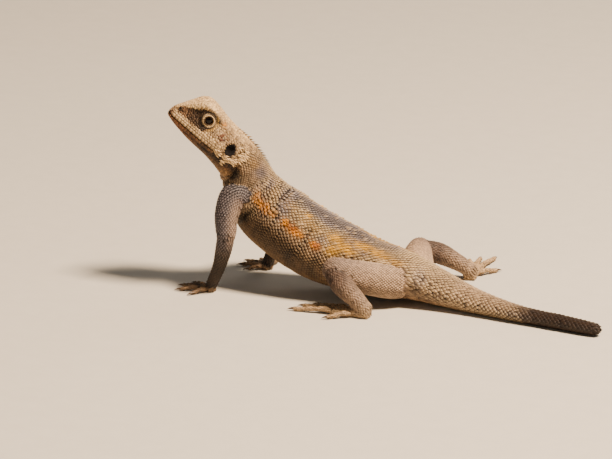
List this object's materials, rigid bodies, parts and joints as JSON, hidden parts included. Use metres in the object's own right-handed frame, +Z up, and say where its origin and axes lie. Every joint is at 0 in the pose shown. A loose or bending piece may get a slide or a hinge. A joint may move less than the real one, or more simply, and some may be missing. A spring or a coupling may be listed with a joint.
{
  "type": "savignys agama",
  "caption": "Life-size still model of a desert agama lizard, propped up on its straight forelegs with its head raised and its short tail along the floor.",
  "frame": {"origin": "on the floor under the middle of the animal's bounding box", "axes": "+Z up; the body lies along X with the head towards -X and the tail towards +X; the animal's left side faces -Y"},
  "size_m": [0.13, 0.0767, 0.0558],
  "materials": {
    "skin_head": "dry, finely scaled skin, sandy beige",
    "skin_body": "dry keeled scales, grey-brown with cream tips, orange and yellow blotches",
    "skin_tail": "dry keeled scales, beige-grey with dark checks",
    "skin_tail_end": "dry keeled scales, dark slate-brown",
    "skin_leg": "dry fine scales, pinkish grey-beige",
    "skin_foot": "dry fine scales, pale pinkish cream",
    "eye": "wet, near black",
    "claw": "smooth dark horn"
  },
  "bodies": {
    "root": {"head": "skin_head", "eye_left": "eye", "eye_right": "eye", "neck": "skin_head", "torso": "skin_body", "tail_base": "skin_tail", "tail_middle": "skin_tail", "tail_end": "skin_tail_end", "left_foreleg_upper": "skin_leg", "left_foreleg_lower": "skin_leg", "left_foreleg_hand": "skin_foot", "right_foreleg_upper": "skin_leg", "right_foreleg_lower": "skin_leg", "right_foreleg_hand": "skin_foot", "left_hindleg_upper": "skin_leg", "left_hindleg_lower": "skin_leg", "left_hindleg_foot": "skin_foot", "right_hindleg_upper": "skin_leg", "right_hindleg_lower": "skin_leg", "right_hindleg_foot": "skin_foot"}
  },
  "joints": []
}
